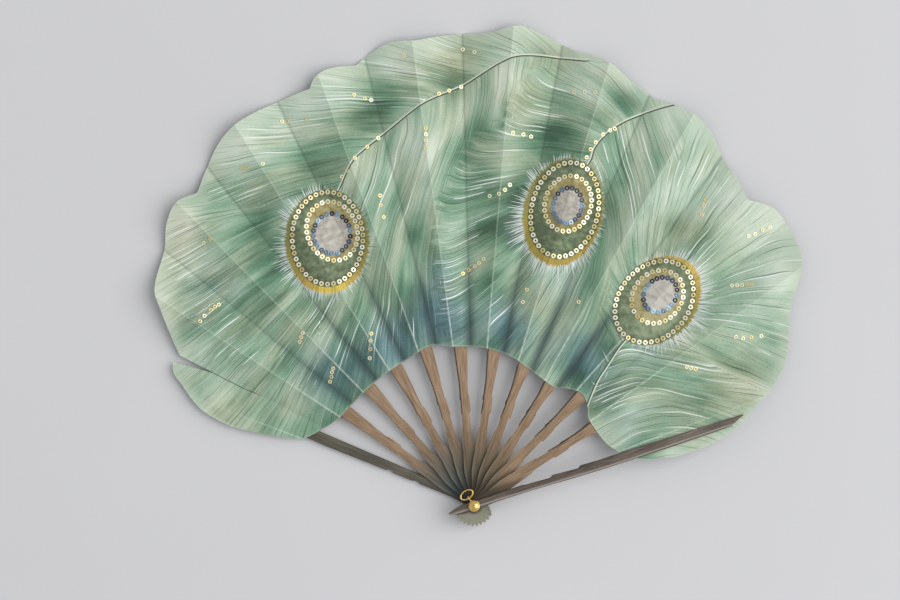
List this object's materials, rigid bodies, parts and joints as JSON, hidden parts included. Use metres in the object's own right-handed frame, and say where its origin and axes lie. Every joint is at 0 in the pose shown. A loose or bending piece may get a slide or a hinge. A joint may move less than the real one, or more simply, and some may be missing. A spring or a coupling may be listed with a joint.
{
  "type": "folding fan",
  "caption": "Folding hand fan: carved wooden sticks on a brass rivet carry a pleated, scalloped cloth leaf painted as peacock feathers and sewn with sequins; it folds shut and hangs by a ring",
  "frame": {"origin": "on the rivet's axis, at the flat underside of its rear head", "axes": "+Z along the rivet towards the fan's painted face, +Y up the middle of the open leaf, +X to the front guard's side"},
  "size_m": [0.3997, 0.3095, 0.0201],
  "materials": {
    "stick_wood": "tan brown wood, oiled, going grey-green towards the rivet",
    "guard_wood": "dark grey-brown stained wood, satin",
    "leaf_cloth": "fine woven cloth painted in sage and teal greens as peacock feathers",
    "brass": "polished brass"
  },
  "bodies": {
    "rear_guard": {"rear_guard": "guard_wood", "leaf_panel_00": "leaf_cloth", "leaf_fold_00": "leaf_cloth", "rivet_pin": "brass", "rivet_dome": "brass"},
    "stick_01": {"stick_01": "stick_wood", "leaf_panel_01": "leaf_cloth", "leaf_fold_01": "leaf_cloth"},
    "stick_02": {"stick_02": "stick_wood", "leaf_panel_02": "leaf_cloth", "leaf_fold_02": "leaf_cloth"},
    "stick_03": {"stick_03": "stick_wood", "leaf_panel_03": "leaf_cloth", "leaf_fold_03": "leaf_cloth"},
    "stick_04": {"stick_04": "stick_wood", "leaf_panel_04": "leaf_cloth", "leaf_fold_04": "leaf_cloth"},
    "stick_05": {"stick_05": "stick_wood", "leaf_panel_05": "leaf_cloth", "leaf_fold_05": "leaf_cloth"},
    "stick_06": {"stick_06": "stick_wood", "leaf_panel_06": "leaf_cloth", "leaf_fold_06": "leaf_cloth"},
    "stick_07": {"stick_07": "stick_wood", "leaf_panel_07": "leaf_cloth", "leaf_fold_07": "leaf_cloth"},
    "stick_08": {"stick_08": "stick_wood", "leaf_panel_08": "leaf_cloth", "leaf_fold_08": "leaf_cloth"},
    "stick_09": {"stick_09": "stick_wood", "leaf_panel_09": "leaf_cloth", "leaf_fold_09": "leaf_cloth"},
    "stick_10": {"stick_10": "stick_wood", "leaf_panel_10": "leaf_cloth", "leaf_fold_10": "leaf_cloth"},
    "front_guard": {"front_guard": "guard_wood", "leaf_panel_11": "leaf_cloth"},
    "collar": {"swivel_collar": "brass"},
    "ring": {"hanging_ring": "brass"}
  },
  "joints": [
    {"name": "close_01", "type": "hinge", "parent": "rear_guard", "child": "stick_01", "pos_m": [0, 0, 0], "axis": [0, 0, 1], "range_deg": [0, 12.29], "deforming": ["leaf_fold_00"]},
    {"name": "close_02", "type": "hinge", "parent": "stick_01", "child": "stick_02", "pos_m": [0, 0, 0], "axis": [0, 0, 1], "range_deg": [0, 12.29], "deforming": ["leaf_fold_01"]},
    {"name": "close_03", "type": "hinge", "parent": "stick_02", "child": "stick_03", "pos_m": [0, 0, 0], "axis": [0, 0, 1], "range_deg": [0, 12.29], "deforming": ["leaf_fold_02"]},
    {"name": "close_04", "type": "hinge", "parent": "stick_03", "child": "stick_04", "pos_m": [0, 0, 0], "axis": [0, 0, 1], "range_deg": [0, 12.29], "deforming": ["leaf_fold_03"]},
    {"name": "close_05", "type": "hinge", "parent": "stick_04", "child": "stick_05", "pos_m": [0, 0, 0], "axis": [0, 0, 1], "range_deg": [0, 12.29], "deforming": ["leaf_fold_04"]},
    {"name": "close_06", "type": "hinge", "parent": "stick_05", "child": "stick_06", "pos_m": [0, 0, 0], "axis": [0, 0, 1], "range_deg": [0, 12.29], "deforming": ["leaf_fold_05"]},
    {"name": "close_07", "type": "hinge", "parent": "stick_06", "child": "stick_07", "pos_m": [0, 0, 0], "axis": [0, 0, 1], "range_deg": [0, 12.29], "deforming": ["leaf_fold_06"]},
    {"name": "close_08", "type": "hinge", "parent": "stick_07", "child": "stick_08", "pos_m": [0, 0, 0], "axis": [0, 0, 1], "range_deg": [0, 12.29], "deforming": ["leaf_fold_07"]},
    {"name": "close_09", "type": "hinge", "parent": "stick_08", "child": "stick_09", "pos_m": [0, 0, 0], "axis": [0, 0, 1], "range_deg": [0, 12.29], "deforming": ["leaf_fold_08"]},
    {"name": "close_10", "type": "hinge", "parent": "stick_09", "child": "stick_10", "pos_m": [0, 0, 0], "axis": [0, 0, 1], "range_deg": [0, 12.29], "deforming": ["leaf_fold_09"]},
    {"name": "close_11", "type": "hinge", "parent": "stick_10", "child": "front_guard", "pos_m": [0, 0, 0], "axis": [0, 0, 1], "range_deg": [0, 15.5], "deforming": ["leaf_fold_10"]},
    {"name": "collar_swivel", "type": "hinge", "parent": "rear_guard", "child": "collar", "pos_m": [0, 0, 0.01589], "axis": [0, 0, 1], "continuous": true},
    {"name": "ring_lift", "type": "hinge", "parent": "collar", "child": "ring", "pos_m": [-0.00321, 0.00495, 0.01739], "axis": [0.8387, 0.5446, 0], "range_deg": [0, 95]}
  ],
  "couplings": [
    {"joint": "close_02", "follows": "close_01", "ratio": 1},
    {"joint": "close_03", "follows": "close_01", "ratio": 1},
    {"joint": "close_04", "follows": "close_01", "ratio": 1},
    {"joint": "close_05", "follows": "close_01", "ratio": 1},
    {"joint": "close_06", "follows": "close_01", "ratio": 1},
    {"joint": "close_07", "follows": "close_01", "ratio": 1},
    {"joint": "close_08", "follows": "close_01", "ratio": 1},
    {"joint": "close_09", "follows": "close_01", "ratio": 1},
    {"joint": "close_10", "follows": "close_01", "ratio": 1},
    {"joint": "close_11", "follows": "close_01", "ratio": 1.2611}
  ]
}
